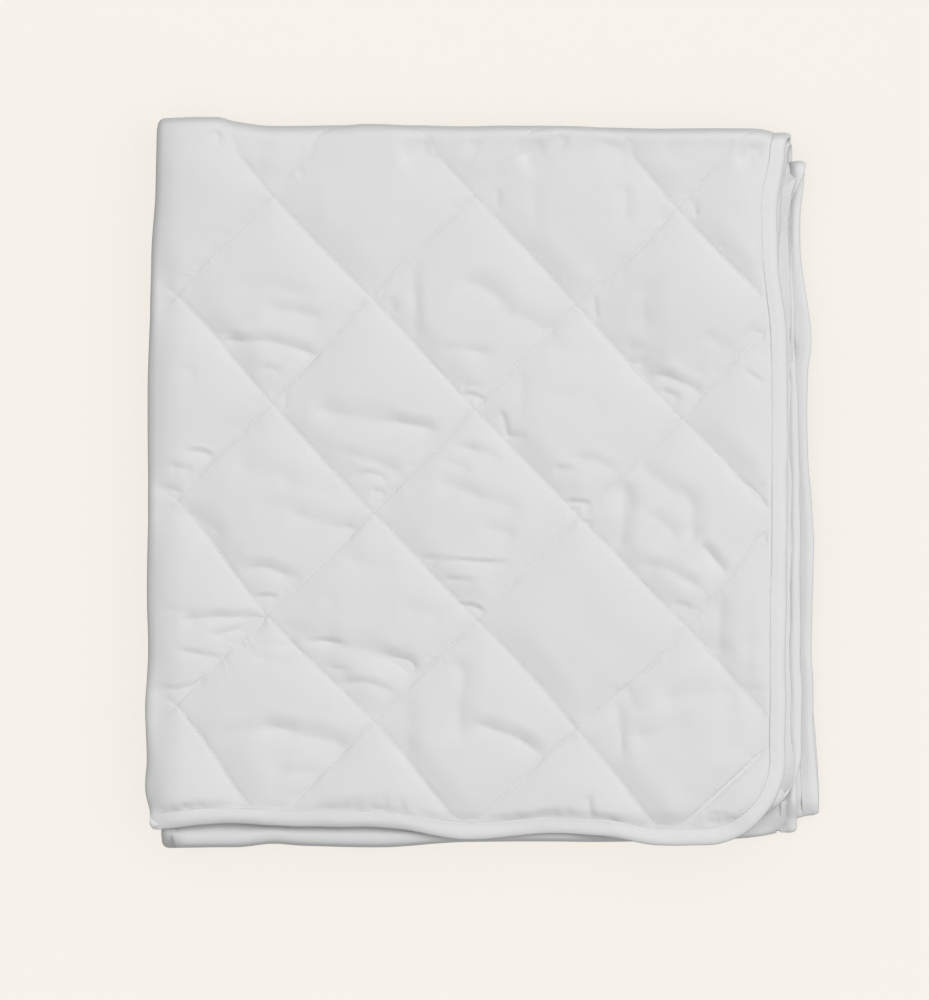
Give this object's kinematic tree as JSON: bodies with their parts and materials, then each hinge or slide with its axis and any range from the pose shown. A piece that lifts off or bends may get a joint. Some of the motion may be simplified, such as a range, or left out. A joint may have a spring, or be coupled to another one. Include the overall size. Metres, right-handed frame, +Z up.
{
  "type": "mattress protector",
  "caption": "Quilted mattress protector with diamond stitching and a bound edge with rounded corners, folded into a flat pile.",
  "frame": {"origin": "centre of the folded pile's outline, on the surface it lies on", "axes": "+Z up out of the pile, +Y towards the top fold, +X towards the bound side edges"},
  "size_m": [0.4692, 0.5076, 0.0476],
  "materials": {
    "cover": "fine plain-weave white cotton, quilted over a thin filling",
    "binding": "white cotton bias tape, folded over the edge and stitched"
  },
  "bodies": {
    "root": {"quilted_panel": "cover", "binding": "binding"}
  },
  "joints": []
}
